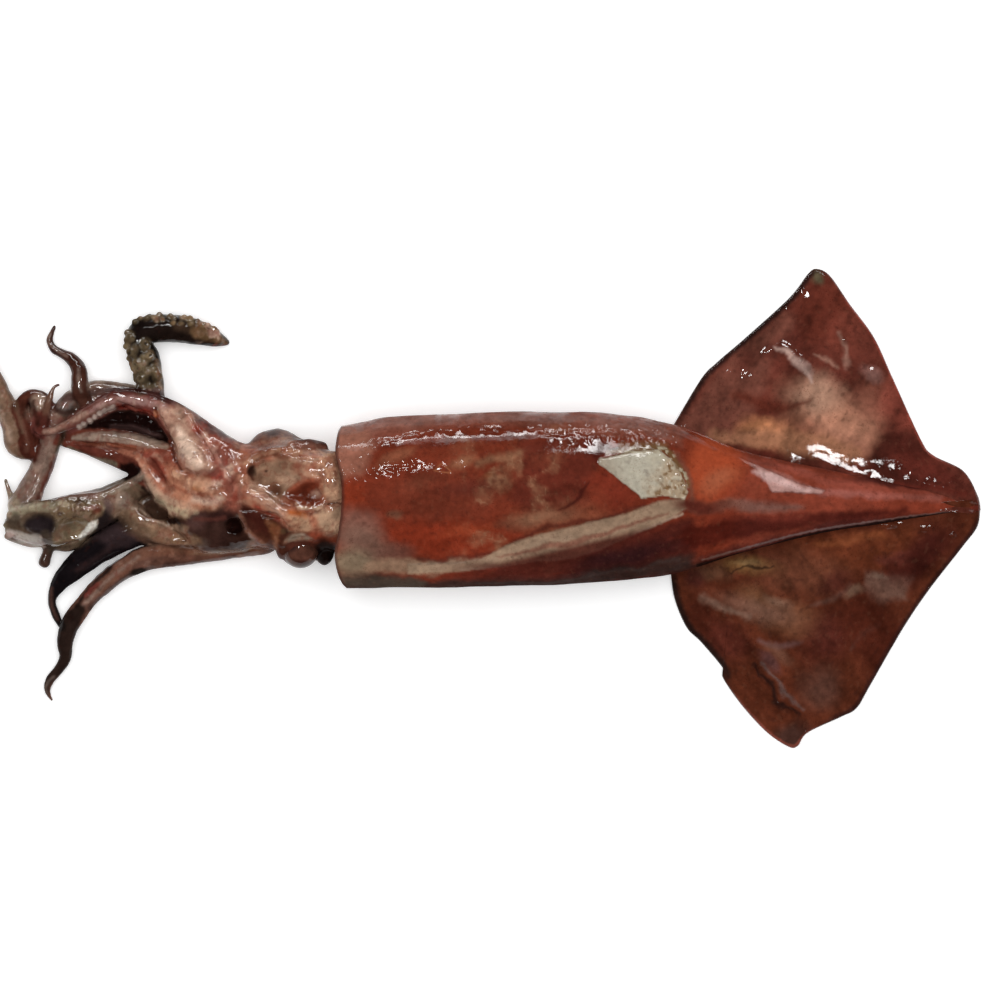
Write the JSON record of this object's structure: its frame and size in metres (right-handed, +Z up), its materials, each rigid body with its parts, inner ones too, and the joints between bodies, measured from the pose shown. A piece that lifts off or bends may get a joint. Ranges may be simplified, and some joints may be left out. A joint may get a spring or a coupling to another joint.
{
  "type": "whole raw squid",
  "caption": "Whole raw squid lying belly up: long tapering body, broad tail fins, head, and tangled arms and tentacles.",
  "frame": {"origin": "on the body's flat underside, below the middle of the mantle", "axes": "+Z up out of the table, +X along the body towards the tail, +Y across the body"},
  "size_m": [0.4459, 0.2096, 0.0409],
  "materials": {
    "skin": "wet red-brown skin, glossy"
  },
  "bodies": {
    "root": {"squid": "skin"}
  },
  "joints": []
}
